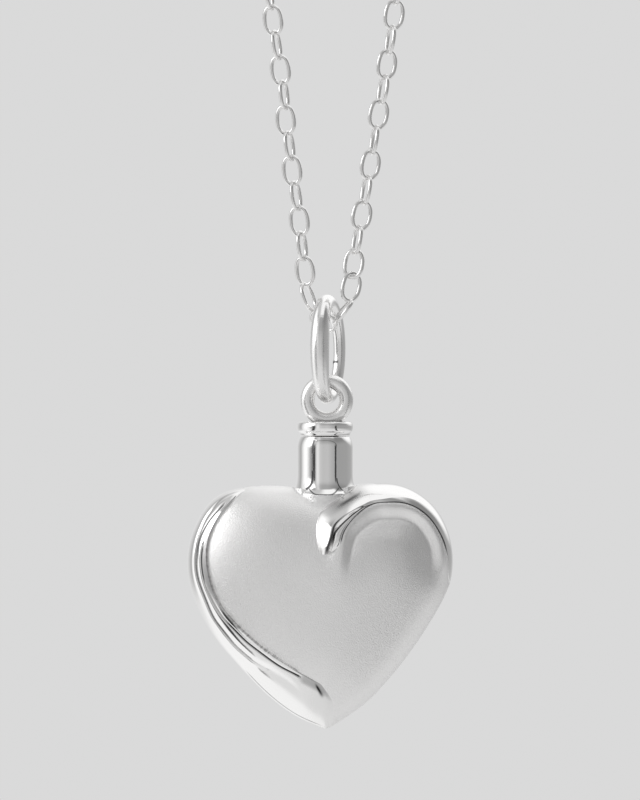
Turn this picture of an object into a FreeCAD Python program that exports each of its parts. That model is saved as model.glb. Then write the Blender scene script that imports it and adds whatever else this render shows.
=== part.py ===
import FreeCAD, Part
import math
import os
import Sketcher
from FreeCAD import Placement, Rotation, Vector

# Keepsake urn pendant on a fine chain, stored hanging free.
# +Z is up, the heart faces -Y and the origin is the top of the chain loop,
# where the chain hangs from a hook. Lengths are in millimetres.

doc = FreeCAD.newDocument("keepsake_urn_pendant")
sheet = doc.addObject("Spreadsheet::Sheet", "dims")

DIMS = [
    # alias, value, what it is
    ("loop_length", 457.0, "whole loop with the clasp"),
    ("strand_tilt", 8.4, "lean of each strand from the vertical, degrees"),
    ("chain_dia", 1.5, "outer width of the chain"),
    ("fold_radius", 1.68, "chain route round the top of the bail ring"),
    ("clasp_major", 2.4, "clasp ring, radius of the wire's middle"),
    ("clasp_wire", 0.5, "clasp ring, radius of the wire"),
    ("end_loop_major", 0.75, "clasp end loop, radius of the wire's middle"),
    ("end_loop_wire", 0.28, "clasp end loop, radius of the wire"),
    ("thumb_dia", 0.7, "clasp thumb knob"),
    ("thumb_long", 1.1, "clasp thumb knob"),
    ("bail_tall", 7.20, "bail ring, middle of the wire, height"),
    ("bail_wide", 4.4, "bail ring, middle of the wire, width"),
    ("bail_turn", 20.0, "turn of the bail ring's plane about the vertical, degrees"),
    ("bail_seat", 0.20, "bail wire's lowest middle above the eye's centre"),
    ("eye_major", 1.46, "eye, radius of the wire's middle"),
    ("eye_wire", 0.53, "eye, radius of the wire"),
    ("collar_top", 1.65, "below the eye's centre"),
    ("collar_edge", 0.12, "broken edge of the collar"),
    ("collar_low", 2.39, "below the eye's centre"),
    ("collar_base", 2.70, "below the eye's centre"),
    ("collar_dia", 4.2, ""),
    ("waist_dia", 3.86, "underside of the collar and top of the neck"),
    ("stem_dia", 2.04, "root of the screw stem"),
    ("stem_low", 5.85, "end of the stem below the eye's centre"),
    ("thread_crest", 2.4, "outer diameter of the thread"),
    ("thread_pitch", 0.5, ""),
    ("thread_start", 5.55, "lowest turn below the eye's centre"),
    ("thread_tall", 2.25, "height of the threaded length"),
    ("neck_top", 2.75, "below the eye's centre"),
    ("neck_shoulder", 3.4, "below the eye's centre"),
    ("neck_dia", 4.2, ""),
    ("flare_top", 5.9, "below the eye's centre"),
    ("flare_low", 7.0, "below the eye's centre"),
    ("flare_dia", 4.7, "foot of the neck where it meets the heart"),
    ("neck_foot", 8.1, "below the eye's centre"),
    ("bore_dia", 2.5, "threaded mouth of the urn, over the crests"),
    ("bore_low", 8.6, "below the eye's centre"),
    ("heart_side", -0.38, "heart's middle beside the neck's axis"),
    ("heart_drop", 14.35, "heart's middle below the eye's centre"),
    ("heart_scale", 1.0, "1 gives a heart 20 mm wide"),
    ("dome_front", 3.9, "depth of the front dome"),
    ("dome_back", 3.1, "depth of the back dome"),
    ("dome_power", 2.5, "fullness of the domes"),
    ("wall", 0.6, "sheet of the hollow heart"),
    ("urn_travel", 5.0, "way the urn comes off the screw"),
]
for row, (alias, value, note) in enumerate(DIMS, start=1):
    sheet.set("A%d" % row, note or alias)
    sheet.set("B%d" % row, repr(value))
    sheet.setAlias("B%d" % row, alias)
doc.recompute()


def dim(alias):
    return float(sheet.get(alias))


# ---------------------------------------------------------------- chain route
# The loop is a teardrop: a wide arc at the top, a tight one that passes under
# the bail ring's top wire, and two straight taut strands between them.
tilt = math.radians(dim("strand_tilt"))
fold = dim("fold_radius")
crown = (dim("loop_length") + 2 * fold / math.tan(tilt) - fold * (math.pi - 2 * tilt)) / (
    2 / math.tan(tilt) + math.pi + 2 * tilt)
fold_level = -crown - (crown - fold) / math.sin(tilt)
eye_level = fold_level - dim("bail_tall") - dim("bail_seat")
end_angle = (dim("clasp_major") + 2 * dim("end_loop_major") + 2 * dim("end_loop_wire") + 0.35) / crown

first_row = len(DIMS) + 1
for row, (alias, value) in enumerate([("crown_radius", crown), ("fold_level", fold_level),
                                      ("eye_level", eye_level)], start=first_row):
    sheet.set("A%d" % row, alias)
    sheet.set("B%d" % row, "%.4f" % value)
    sheet.setAlias("B%d" % row, alias)
doc.recompute()
print("crown radius %.3f, fold radius %.3f, fold level %.3f, eye level %.3f"
      % (crown, fold, fold_level, eye_level))


def on_arc(radius, level, angle):
    """Point of an arc in the loop's plane, angle from straight up towards +X."""
    return Vector(radius * math.sin(angle), 0, level + radius * math.cos(angle))


def loop_wire():
    turn = math.pi / 2 + tilt
    right_top = on_arc(crown, -crown, turn)
    right_low = on_arc(fold, fold_level, turn)
    left_low = on_arc(fold, fold_level, -turn)
    left_top = on_arc(crown, -crown, -turn)
    edges = [
        Part.Arc(on_arc(crown, -crown, end_angle), on_arc(crown, -crown, (turn + end_angle) / 2),
                 right_top).toShape(),
        Part.LineSegment(right_top, right_low).toShape(),
        Part.Arc(right_low, on_arc(fold, fold_level, math.pi), left_low).toShape(),
        Part.LineSegment(left_low, left_top).toShape(),
        Part.Arc(left_top, on_arc(crown, -crown, -(turn + end_angle) / 2),
                 on_arc(crown, -crown, -end_angle)).toShape(),
    ]
    return Part.Wire(edges)


route = doc.addObject("Part::Feature", "chain_route")
route.Shape = loop_wire()
section = doc.addObject("Part::Circle", "chain_section")
section.setExpression("Radius", "dims.chain_dia / 2")
section.Placement = Placement(on_arc(crown, -crown, end_angle),
                              Rotation(Vector(0, 0, 1), Vector(math.cos(end_angle), 0, -math.sin(end_angle))))
chain = doc.addObject("Part::Sweep", "chain_tube")
chain.Label = "chain"
chain.Sections = [section]
chain.Spine = (route, ["Edge%d" % (i + 1) for i in range(len(route.Shape.Edges))])
chain.Solid = True
chain.Frenet = False
doc.recompute()

# ---------------------------------------------------------------- clasp
# A ring of round wire with a thumb knob, and an end loop on each side that
# takes the chain's last link.
ring = doc.addObject("Part::Torus", "clasp_ring")
ring.setExpression("Radius1", "dims.clasp_major")
ring.setExpression("Radius2", "dims.clasp_wire")
ring.Placement = Placement(Vector(0, 0, 0), Rotation(Vector(1, 0, 0), 90))
clasp_parts = [ring]
reach = dim("clasp_major") + dim("end_loop_major") + dim("end_loop_wire") * 0.9
for name, side in (("end_loop_right", 1), ("end_loop_left", -1)):
    end = doc.addObject("Part::Torus", name)
    end.setExpression("Radius1", "dims.end_loop_major")
    end.setExpression("Radius2", "dims.end_loop_wire")
    drop = -reach * reach / (2 * crown)
    end.Placement = Placement(Vector(side * reach, 0, drop), Rotation(Vector(1, 0, 0), 90))
    clasp_parts.append(end)
thumb = doc.addObject("Part::Cylinder", "clasp_thumb")
thumb.setExpression("Radius", "dims.thumb_dia / 2")
thumb.setExpression("Height", "dims.thumb_long")
thumb.Placement = Placement(Vector(dim("clasp_major") * math.sin(0.7), 0, dim("clasp_major") * math.cos(0.7)),
                            Rotation(Vector(0, 0, 1), Vector(math.sin(0.7), 0, math.cos(0.7))))
clasp_parts.append(thumb)
clasp = doc.addObject("Part::MultiFuse", "clasp_ring_spring")
clasp.Label = "clasp"
clasp.Shapes = clasp_parts
doc.recompute()

# ---------------------------------------------------------------- bail ring
# An oval ring of round wire, thicker on its front side. Angles run from the
# bottom towards the front.
BAIL_WIRE = [
    # angle_deg, wire_radius
    (0, 0.52), (30, 0.55), (60, 0.65), (90, 0.72), (120, 0.70), (150, 0.64),
    (180, 0.59), (210, 0.56), (240, 0.54), (270, 0.53), (300, 0.52), (330, 0.51),
]


def bail_point(angle, across, up):
    """Point of the oval in the ring's own plane, with its tangent."""
    point = Vector(0, -across * math.sin(angle), -up * math.cos(angle))
    tangent = Vector(0, -across * math.cos(angle), up * math.sin(angle))
    return point, tangent.normalize()


def bail_shape():
    across, up = dim("bail_wide") / 2, dim("bail_tall") / 2
    sections = []
    for angle_deg, wire_radius in BAIL_WIRE:
        point, tangent = bail_point(math.radians(angle_deg), across, up)
        axes = Rotation(Vector(1, 0, 0), Vector(1, 0, 0).cross(tangent) * -1, tangent, "ZXY")
        circle = Part.Circle(Vector(0, 0, 0), Vector(0, 0, 1), wire_radius).toShape()
        circle.Placement = Placement(point, axes)
        sections.append(Part.Wire([circle]))
    # two halves, each with its section at the top and bottom in common
    middle = len(sections) // 2
    front = Part.makeLoft(sections[:middle + 1], True, False)
    rear = Part.makeLoft(sections[middle:] + sections[:1], True, False)
    return front.fuse(rear).removeSplitter()


bail = doc.addObject("Part::Feature", "bail_oval")
bail.Label = "bail_ring"
bail.Shape = bail_shape()
bail.Placement = Placement(Vector(0, 0, 0), Rotation(Vector(0, 0, 1), -dim("bail_turn")))
bail.setExpression(".Placement.Base.z", "dims.eye_level + dims.bail_seat + dims.bail_tall / 2")
doc.recompute()


# ---------------------------------------------------------------- sketch helper
def origin_plane(body, role):
    return [f for f in body.Origin.OriginFeatures if f.Role == role][0]


def turned_sketch(body, name, corners):
    """Closed outline in the XZ plane; each corner is two expressions, radius and depth."""
    sketch = body.newObject("Sketcher::SketchObject", name)
    sketch.AttachmentSupport = [(origin_plane(body, "XZ_Plane"), "")]
    sketch.MapMode = "FlatFace"
    doc.recompute()
    spots = []
    for across, depth in corners:
        spots.append(Vector(evaluate(across), -evaluate(depth), 0))
    for i, spot in enumerate(spots):
        sketch.addGeometry(Part.LineSegment(spot, spots[(i + 1) % len(spots)]), False)
    count = len(spots)
    for i in range(count):
        sketch.addConstraint(Sketcher.Constraint("Coincident", i, 2, (i + 1) % count, 1))
    for i, (across, depth) in enumerate(corners):
        if across == "0":
            sketch.addConstraint(Sketcher.Constraint("PointOnObject", i, 1, -2))
        else:
            k = sketch.addConstraint(Sketcher.Constraint("DistanceX", -1, 1, i, 1, spots[i].x))
            sketch.renameConstraint(k, "across%d" % i)
            sketch.setExpression("Constraints.across%d" % i, across)
        k = sketch.addConstraint(Sketcher.Constraint("DistanceY", i, 1, -1, 1, -spots[i].y))
        sketch.renameConstraint(k, "depth%d" % i)
        sketch.setExpression("Constraints.depth%d" % i, depth)
    return sketch


def evaluate(expression):
    """Value of a sum of sheet cells, such as dims.a / 2 - dims.b."""
    return float(sheet.evalExpression(expression.replace("dims.", "")))


def turned(body, name, corners):
    sketch = turned_sketch(body, name + "_outline", corners)
    turn = body.newObject("PartDesign::Revolution", name)
    turn.Profile = sketch
    turn.ReferenceAxis = (sketch, ["V_Axis"])
    turn.Angle = 360
    sketch.Visibility = False
    doc.recompute()
    return turn


# ---------------------------------------------------------------- screw cap
cap = doc.addObject("PartDesign::Body", "cap_body")
cap.Label = "screw_cap"
turned(cap, "collar_and_stem", [
    ("0", "dims.collar_top"),
    ("dims.collar_dia / 2 - dims.collar_edge", "dims.collar_top"),
    ("dims.collar_dia / 2", "dims.collar_top + dims.collar_edge"),
    ("dims.collar_dia / 2", "dims.collar_low"),
    ("dims.waist_dia / 2", "dims.collar_base"),
    ("dims.stem_dia / 2", "dims.collar_base"),
    ("dims.stem_dia / 2", "dims.stem_low - 0.15"),
    ("dims.stem_dia / 2 - 0.15", "dims.stem_low"),
    ("0", "dims.stem_low"),
])
eye = cap.newObject("PartDesign::AdditiveTorus", "eye_ring")
eye.setExpression("Radius1", "dims.eye_major")
eye.setExpression("Radius2", "dims.eye_wire")
eye.Placement = Placement(Vector(0, 0, 0), Rotation(Vector(1, 0, 0), 90))
doc.recompute()

thread_profile = cap.newObject("Sketcher::SketchObject", "thread_profile")
thread_profile.AttachmentSupport = [(origin_plane(cap, "XZ_Plane"), "")]
thread_profile.MapMode = "FlatFace"
doc.recompute()
root, crest, pitch = dim("stem_dia") / 2 - 0.03, dim("thread_crest") / 2, dim("thread_pitch")
low = -dim("thread_start")
tooth = [Vector(root, low - 0.36 * pitch, 0), Vector(crest, low - 0.08 * pitch, 0),
         Vector(crest, low + 0.08 * pitch, 0), Vector(root, low + 0.36 * pitch, 0)]
for i, spot in enumerate(tooth):
    thread_profile.addGeometry(Part.LineSegment(spot, tooth[(i + 1) % 4]), False)
for i in range(4):
    thread_profile.addConstraint(Sketcher.Constraint("Coincident", i, 2, (i + 1) % 4, 1))
doc.recompute()
thread = cap.newObject("PartDesign::AdditiveHelix", "thread")
thread.Profile = thread_profile
thread.ReferenceAxis = (thread_profile, ["V_Axis"])
thread.Mode = 0
thread.setExpression("Pitch", "dims.thread_pitch")
thread.setExpression("Height", "dims.thread_tall")
thread_profile.Visibility = False
cap.setExpression(".Placement.Base.z", "dims.eye_level")
doc.recompute()

# ---------------------------------------------------------------- heart urn
# Outline of the heart about its middle, clockwise from the top centre.
OUTLINE = [
    # x_mm, z_mm
    (0.38, 7.50), (2.30, 7.86), (4.08, 8.07), (5.70, 7.97), (7.20, 7.40),
    (8.55, 6.32), (9.50, 4.80), (9.98, 2.80), (9.90, 1.06), (9.45, -0.35),
    (8.76, -1.66), (7.63, -3.47), (6.34, -5.29), (4.83, -7.10), (2.94, -8.91),
    (1.50, -9.90), (0.42, -10.36), (-0.66, -10.02), (-2.64, -8.91), (-4.76, -7.10),
    (-6.42, -5.29), (-7.93, -3.47), (-8.98, -1.66), (-9.66, 0.00), (-9.97, 1.96),
    (-9.80, 3.60), (-9.15, 5.30), (-7.90, 6.92), (-6.20, 7.66), (-4.30, 7.88),
    (-2.20, 7.80),
]
# Steps from the rim to the crown of each dome, as a share of the outline,
# evenly spaced along the dome's curve.
STEPS = [0.985, 0.925, 0.834, 0.73, 0.62, 0.508, 0.394, 0.28]


def heart_middle():
    return Vector(dim("heart_side"), 0, -dim("heart_drop"))


def outline_wire(share, level):
    scale = dim("heart_scale") * share
    points = [Vector(x * scale, level, z * scale) + heart_middle() for x, z in OUTLINE]
    curve = Part.BSplineCurve()
    curve.interpolate(Points=points, PeriodicFlag=True)
    return Part.Wire([curve.toShape()])


def dome_level(share, depth):
    power = dim("dome_power")
    return depth * (1 - share ** power) ** (1 / power)


def pillow(front, back):
    """Closed body with the heart's outline and a dome on each side."""
    wires = [outline_wire(share, dome_level(share, back)) for share in reversed(STEPS)]
    wires.append(outline_wire(1, 0))
    wires += [outline_wire(share, -dome_level(share, front)) for share in STEPS]
    return Part.makeLoft(wires, True, False)


def shrunk(shape, wall):
    """The same body drawn in by the wall, for the hollow inside it."""
    middle = heart_middle()
    depth = (dim("dome_front") + dim("dome_back")) / 2
    matrix = FreeCAD.Matrix()
    matrix.move(middle * -1)
    matrix.scale(Vector(1 - wall / 9.2, 1 - wall / depth, 1 - wall / 9.2))
    matrix.move(middle)
    return shape.transformGeometry(matrix)


def outline_reach(angle):
    """Distance from the middle to the outline, straight between its points."""
    spots = [(math.atan2(z, x) % (2 * math.pi), math.hypot(x, z)) for x, z in OUTLINE]
    spots.sort()
    spots = [(spots[-1][0] - 2 * math.pi, spots[-1][1])] + spots + [(spots[0][0] + 2 * math.pi, spots[0][1])]
    angle %= 2 * math.pi
    for (a0, r0), (a1, r1) in zip(spots, spots[1:]):
        if a0 <= angle <= a1:
            return dim("heart_scale") * (r0 + (r1 - r0) * (angle - a0) / (a1 - a0))
    return spots[0][1]


def front_level(x, z):
    share = math.hypot(x, z) / outline_reach(math.atan2(z, x))
    return -dome_level(min(share, 0.97), dim("dome_front"))


# Raised ribbons on the front dome: a long one down the left side that ends in
# a broad tail, and one that hooks out of the cleft and follows the right lobe.
LEFT_RIBBON = [
    # x_mm, z_mm, width_mm, height_mm
    (-5.9, 7.25, 0.35, 0.15), (-7.6, 6.35, 0.9, 0.25), (-8.7, 4.70, 1.2, 0.30),
    (-9.0, 2.90, 1.6, 0.33), (-8.9, 1.20, 1.7, 0.35), (-8.3, -0.75, 1.8, 0.36),
    (-6.8, -3.20, 2.0, 0.40), (-4.4, -5.70, 2.3, 0.42), (-1.6, -7.75, 2.3, 0.40),
    (0.2, -8.80, 1.1, 0.22),
]
RIGHT_RIBBON = [
    # x_mm, z_mm, width_mm, height_mm
    (0.25, 2.6, 0.4, 0.15), (0.10, 3.6, 0.8, 0.30), (0.25, 4.8, 1.2, 0.40),
    (0.95, 5.8, 1.4, 0.45), (2.2, 6.65, 1.5, 0.45), (3.8, 7.10, 1.5, 0.42),
    (5.7, 7.05, 1.4, 0.40), (7.4, 6.35, 1.3, 0.36), (8.75, 4.95, 1.1, 0.30),
    (9.45, 3.20, 0.8, 0.24), (9.60, 1.50, 0.4, 0.15),
]


def ribbon(rows):
    """Raised band lofted through oval sections that lie in the dome's surface."""
    centres = [Vector(x, front_level(x, z), z) for x, z, _, _ in rows]
    sections = []
    for i, (x, z, width, height) in enumerate(rows):
        along = (centres[min(i + 1, len(rows) - 1)] - centres[max(i - 1, 0)]).normalize()
        step = 0.05
        slope_x = (front_level(x + step, z) - front_level(x - step, z)) / (2 * step)
        slope_z = (front_level(x, z + step) - front_level(x, z - step)) / (2 * step)
        outward = Vector(slope_x, -1, slope_z).normalize()
        across = along.cross(outward).normalize()
        outward = across.cross(along).normalize()
        oval = Part.Ellipse(Vector(0, 0, 0), width / 2, min(height, width / 2 - 0.01)).toShape()
        oval.Placement = Placement(centres[i] + heart_middle(), Rotation(across, outward, along, "ZXY"))
        sections.append(Part.Wire([oval]))
    return Part.makeLoft(sections, True, False)


skin = doc.addObject("Part::Feature", "heart_skin")
skin.Shape = pillow(dim("dome_front"), dim("dome_back"))
left_ribbon = doc.addObject("Part::Feature", "left_ribbon")
left_ribbon.Shape = ribbon(LEFT_RIBBON)
right_ribbon = doc.addObject("Part::Feature", "right_ribbon")
right_ribbon.Shape = ribbon(RIGHT_RIBBON)
cavity = doc.addObject("Part::Feature", "cavity")
cavity.Shape = shrunk(skin.Shape, dim("wall"))

neck = doc.addObject("PartDesign::Body", "neck_body")
turned(neck, "neck", [
    ("0", "dims.neck_top"),
    ("dims.waist_dia / 2", "dims.neck_top"),
    ("dims.neck_dia / 2 - 0.04", "dims.neck_shoulder - 0.35"),
    ("dims.neck_dia / 2", "dims.neck_shoulder"),
    ("dims.neck_dia / 2", "dims.flare_top"),
    ("dims.neck_dia / 2 + 0.06", "dims.flare_top + 0.5"),
    ("dims.flare_dia / 2", "dims.flare_low"),
    ("dims.flare_dia / 2", "dims.neck_foot"),
    ("0", "dims.neck_foot"),
])
bore = doc.addObject("Part::Cylinder", "bore")
bore.setExpression("Radius", "dims.bore_dia / 2")
bore.setExpression("Height", "dims.bore_low - dims.neck_top + 1")
bore.setExpression(".Placement.Base.z", "-dims.bore_low")

outside = doc.addObject("Part::MultiFuse", "heart_outside")
outside.Shapes = [skin, left_ribbon, right_ribbon]
doc.recompute()
hollow = doc.addObject("Part::Cut", "heart_hollow")
hollow.Base = outside
hollow.Tool = cavity
doc.recompute()
with_neck = doc.addObject("Part::Fuse", "heart_with_neck")
with_neck.Base = hollow
with_neck.Tool = neck
doc.recompute()
urn = doc.addObject("Part::Cut", "urn")
urn.Label = "heart_urn"
urn.Base = with_neck
urn.Tool = bore
urn.setExpression(".Placement.Base.z", "dims.eye_level")
doc.recompute()

# ---------------------------------------------------------------- checks and files
SUB_PARTS = [chain, clasp, bail, cap, urn]
for item in doc.Objects:
    bad = [state for state in item.State if state in ("Invalid", "Error")]
    if bad:
        raise RuntimeError("%s is %s" % (item.Name, ", ".join(bad)))
for item in SUB_PARTS:
    if item.Shape.isNull() or not item.Shape.isValid():
        raise RuntimeError("%s has no valid shape" % item.Label)
    if len(item.Shape.Solids) != 1:
        raise RuntimeError("%s has %d solids" % (item.Label, len(item.Shape.Solids)))

tube_volume = math.pi * (dim("chain_dia") / 2) ** 2 * route.Shape.Length
print("chain route %.2f mm, tube %.2f of %.2f mm3" % (route.Shape.Length, chain.Shape.Volume, tube_volume))

os.makedirs("parts", exist_ok=True)
for item in SUB_PARTS:
    item.Shape.exportStep("parts/%s.step" % item.Label)
    box = item.Shape.BoundBox
    print("%-10s %9.2f mm3  X %.2f..%.2f  Y %.2f..%.2f  Z %.2f..%.2f" % (
        item.Label, item.Shape.Volume, box.XMin, box.XMax, box.YMin, box.YMax, box.ZMin, box.ZMax))
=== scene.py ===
import math

import bpy
import numpy as np
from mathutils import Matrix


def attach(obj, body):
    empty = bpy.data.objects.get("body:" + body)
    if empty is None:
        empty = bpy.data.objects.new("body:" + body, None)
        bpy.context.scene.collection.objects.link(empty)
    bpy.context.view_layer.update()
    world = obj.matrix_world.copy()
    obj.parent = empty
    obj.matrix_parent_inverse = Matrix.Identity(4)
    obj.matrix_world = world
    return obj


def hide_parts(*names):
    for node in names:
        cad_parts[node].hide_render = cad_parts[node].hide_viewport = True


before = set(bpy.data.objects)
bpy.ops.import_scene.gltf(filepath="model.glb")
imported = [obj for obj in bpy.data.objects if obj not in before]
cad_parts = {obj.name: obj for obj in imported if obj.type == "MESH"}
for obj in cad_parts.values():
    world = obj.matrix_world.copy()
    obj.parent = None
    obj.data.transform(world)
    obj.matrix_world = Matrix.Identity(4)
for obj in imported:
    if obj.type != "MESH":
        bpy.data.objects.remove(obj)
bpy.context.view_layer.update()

# Lengths below are in millimetres and are turned to metres when a mesh is made.
# Front-view tables are in drawing units on the front view: x to the right and y
# down, 0.0755 mm a unit, with the eye's centre at (325, 400).
MM = 0.001
UNIT = 0.0755
EYE = -215.369
FOLD = EYE + 7.4
HEART = np.array([-0.38, -14.35])
FRONT, BACK, POWER = 3.9, 3.1, 2.5


def drawn(points):
    """Front-view drawing units to x and z in millimetres from the eye's centre."""
    p = np.asarray(points, float)
    return np.stack([(p[..., 0] - 325.0) * UNIT, (400.0 - p[..., 1]) * UNIT], -1)


# ------------------------------------------------------------------ mesh tools
def mesh_piece(name, verts, faces, material, body, attributes=None, smooth=True):
    mesh = bpy.data.meshes.new(name)
    mesh.from_pydata((np.asarray(verts) * MM).tolist(), [], [tuple(f) for f in np.asarray(faces, dtype=object)]
                     if isinstance(faces, list) else np.asarray(faces).tolist())
    mesh.update()
    if smooth:
        mesh.shade_smooth()
    for key, values in (attributes or {}).items():
        layer = mesh.attributes.new(key, "FLOAT", "POINT")
        layer.data.foreach_set("value", np.asarray(values, np.float32))
    piece = bpy.data.objects.new(name, mesh)
    bpy.context.scene.collection.objects.link(piece)
    mesh.materials.append(material)
    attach(piece, body)
    return piece


def grid_faces(rows, cols, wrap_rows=False, wrap_cols=False, offset=0):
    r = np.arange(rows if wrap_rows else rows - 1)
    c = np.arange(cols if wrap_cols else cols - 1)
    r, c = np.meshgrid(r, c, indexing="ij")
    r2, c2 = (r + 1) % rows, (c + 1) % cols
    quads = np.stack([r * cols + c, r * cols + c2, r2 * cols + c2, r2 * cols + c], -1)
    return quads.reshape(-1, 4) + offset


def cubic(knots, values, at, period=None):
    """Natural or periodic cubic spline through values at knots."""
    x, y = np.asarray(knots, float), np.asarray(values, float)
    if period:
        pad = min(6, len(x) - 1)
        x = np.concatenate([x[-pad:] - period, x, x[:pad] + period])
        y = np.concatenate([y[-pad:], y, y[:pad]])
        at = (np.asarray(at, float) - x[pad]) % period + x[pad]
    n = len(x)
    gap = np.diff(x)
    system, right = np.zeros((n, n)), np.zeros((n,) + y.shape[1:])
    system[0, 0] = system[-1, -1] = 1
    for i in range(1, n - 1):
        system[i, i - 1], system[i, i], system[i, i + 1] = gap[i - 1], 2 * (gap[i - 1] + gap[i]), gap[i]
        right[i] = 3 * ((y[i + 1] - y[i]) / gap[i] - (y[i] - y[i - 1]) / gap[i - 1])
    bend = np.linalg.solve(system, right)
    k = np.clip(np.searchsorted(x, at) - 1, 0, n - 2)
    t = at - x[k]
    g = gap[k]
    if y.ndim > 1:
        t, g = t[..., None], g[..., None]
    slope = (y[k + 1] - y[k]) / g - g * (2 * bend[k] + bend[k + 1]) / 3
    return y[k] + t * (slope + t * (bend[k] + t * (bend[k + 1] - bend[k]) / (3 * g)))


def smooth_step(a, b, x):
    t = np.clip((np.asarray(x, float) - a) / (b - a), 0, 1)
    return t * t * (3 - 2 * t)


def along(points):
    p = np.asarray(points, float)
    return np.concatenate([[0], np.cumsum(np.linalg.norm(np.diff(p, axis=0), axis=1))])


def eased(points, count):
    """Smooth line through drawn points, evenly stepped."""
    p = drawn(points)
    s = along(p)
    return cubic(s, p, np.linspace(0, s[-1], count))


def line_distance(x, z, line):
    """Signed distance to a line, positive on its right side, and the place along it from 0 to 1."""
    best = np.full(x.shape, 1e9)
    side = np.zeros(x.shape)
    place = np.zeros(x.shape)
    total = len(line) - 1
    for i in range(total):
        ax, az = line[i]
        dx, dz = line[i + 1] - line[i]
        size = dx * dx + dz * dz
        t = np.clip(((x - ax) * dx + (z - az) * dz) / size, 0, 1)
        ox, oz = x - ax - t * dx, z - az - t * dz
        d = ox * ox + oz * oz
        near = d < best
        best = np.where(near, d, best)
        side = np.where(near, -np.sign(dx * oz - dz * ox), side)
        place = np.where(near, (i + t) / total, place)
    return np.sqrt(best) * side, place


# ------------------------------------------------------------------ the heart's form
OUTLINE = [
    # x_mm, z_mm about the heart's middle, clockwise from the top
    (0.38, 7.50), (2.30, 7.86), (4.08, 8.07), (5.70, 7.97), (7.20, 7.40),
    (8.55, 6.32), (9.50, 4.80), (9.98, 2.80), (9.90, 1.06), (9.45, -0.35),
    (8.76, -1.66), (7.63, -3.47), (6.34, -5.29), (4.83, -7.10), (2.95, -8.90),
    (2.26, -9.38), (1.55, -9.86), (0.95, -10.22), (0.46, -10.40), (-0.06, -10.25), (-1.05, -9.83), (-1.96, -9.36),
    (-2.66, -8.90), (-4.76, -7.10),
    (-6.42, -5.29), (-7.93, -3.47), (-8.98, -1.66), (-9.66, 0.00), (-9.97, 1.96),
    (-9.80, 3.60), (-9.15, 5.30), (-7.90, 6.92), (-6.20, 7.66), (-4.30, 7.88),
    (-2.20, 7.80),
]
_spots = sorted((math.atan2(z, x), math.hypot(x, z)) for x, z in OUTLINE)
OUT_ANGLE, OUT_REACH = np.array([a for a, _ in _spots]), np.array([r for _, r in _spots])


FULL = np.radians(np.arange(0, 360, 1.0))
FULL_REACH = cubic(OUT_ANGLE, OUT_REACH, FULL, 2 * math.pi)
_soft = np.exp(-(np.minimum(np.arange(360), 360 - np.arange(360)) / 11.0) ** 2 / 2)
SOFT_REACH = np.real(np.fft.ifft(np.fft.fft(FULL_REACH) * np.fft.fft(_soft / _soft.sum())))


def reach(angle, share=1.0):
    """Distance from the heart's middle to its outline; the tip's corner is softer away from the rim."""
    sharp = cubic(OUT_ANGLE, OUT_REACH, angle, 2 * math.pi)
    soft = np.interp(np.asarray(angle) % (2 * math.pi), np.append(FULL, 2 * math.pi), np.append(SOFT_REACH, SOFT_REACH[0]))
    return soft + (sharp - soft) * smooth_step(0.60, 1.0, share)


def to_polar(x, z):
    """Angle about the heart's middle and share of the way to its outline."""
    angle, size = np.arctan2(z - HEART[1], x - HEART[0]), np.hypot(x - HEART[0], z - HEART[1])
    share = size / reach(angle)
    for _ in range(12):
        share = 0.5 * share + 0.5 * size / reach(angle, share)
    return angle, share


def latitude(share):
    return np.arccos(np.clip(share, 0, 1) ** (POWER / 2))


def dome_point(angle, lat):
    """Point and outward normal of the plain domes; latitude 0 is the rim, positive is the front."""
    share = np.cos(lat) ** (2 / POWER)
    depth = np.where(lat > 0, FRONT, BACK)
    high = np.abs(np.sin(lat)) ** (2 / POWER)
    r = reach(angle, share)
    step = 1e-3
    slope = (reach(angle + step, share) - reach(angle - step, share)) / (2 * step)
    x, z = HEART[0] + share * r * np.cos(angle), HEART[1] + share * r * np.sin(angle)
    y = -np.sign(lat) * depth * high
    # gradient of the share at this place
    rx, rz = np.cos(angle), np.sin(angle)
    tx, tz = -rz, rx
    sx, sz = (rx - tx * slope / r) / r, (rz - tz * slope / r) / r
    a = share ** (POWER - 1)
    b = high ** (POWER - 1) / depth
    n = np.stack([a * sx, -np.sign(lat) * b, a * sz], -1)
    n /= np.maximum(np.linalg.norm(n, axis=-1, keepdims=True), 1e-9)
    return np.stack([x, y, z], -1), n


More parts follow.
